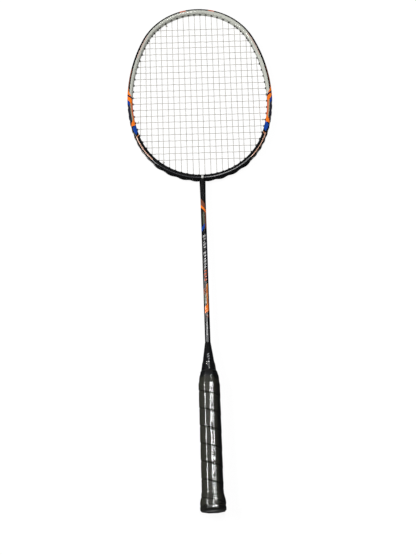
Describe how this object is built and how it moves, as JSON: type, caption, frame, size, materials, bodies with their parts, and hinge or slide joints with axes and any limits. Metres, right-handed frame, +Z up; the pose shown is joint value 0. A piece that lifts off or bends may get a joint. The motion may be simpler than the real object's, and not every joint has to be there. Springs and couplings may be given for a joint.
{
  "type": "badminton racket",
  "caption": "Strung badminton racket with an egg-shaped carbon frame, slim shaft, tapered cone and eight-sided wrapped handle with a flared butt.",
  "frame": {"origin": "the middle of the butt's flat end face, on the racket's axis", "axes": "+X to the right across the head, +Y along the axis from the butt to the crown, +Z up out of the string bed, which lies in the XY plane"},
  "size_m": [0.19, 0.675, 0.0312],
  "materials": {
    "frame_lacquer": "carbon fibre tube in glossy silver, black, orange and blue lacquer",
    "black_lacquer": "carbon fibre in glossy black lacquer with orange and blue bands",
    "cone_plastic": "smooth black moulded plastic",
    "beech": "plain sanded wood",
    "cap_plastic": "dark moulded plastic",
    "badge_plastic": "plain silver-grey disc",
    "tack_steel": "plain steel tacks",
    "grip_wrap": "soft black synthetic wrap, wound in overlapping turns",
    "tape": "thin black finishing tape",
    "clear_film": "thin clear wrinkled protective film",
    "string": "off-white braided nylon string",
    "grommet_nylon": "black moulded nylon"
  },
  "bodies": {
    "root": {"head_frame": "frame_lacquer", "t_joint": "black_lacquer", "shaft": "black_lacquer", "cone_cap": "cone_plastic", "handle_core": "beech", "butt_cap": "cap_plastic", "butt_badge": "badge_plastic", "butt_tacks": "tack_steel", "base_grip": "grip_wrap", "finishing_tape": "tape", "grip_film": "clear_film", "main_string": "string", "cross_string": "string", "string_knots": "string", "grommets_crown": "grommet_nylon", "grommets_shoulder_left": "grommet_nylon", "grommets_shoulder_right": "grommet_nylon", "grommets_side_left": "grommet_nylon", "grommets_side_right": "grommet_nylon", "grommets_base_left": "grommet_nylon", "grommets_base_right": "grommet_nylon", "grommets_throat": "grommet_nylon"}
  },
  "joints": []
}
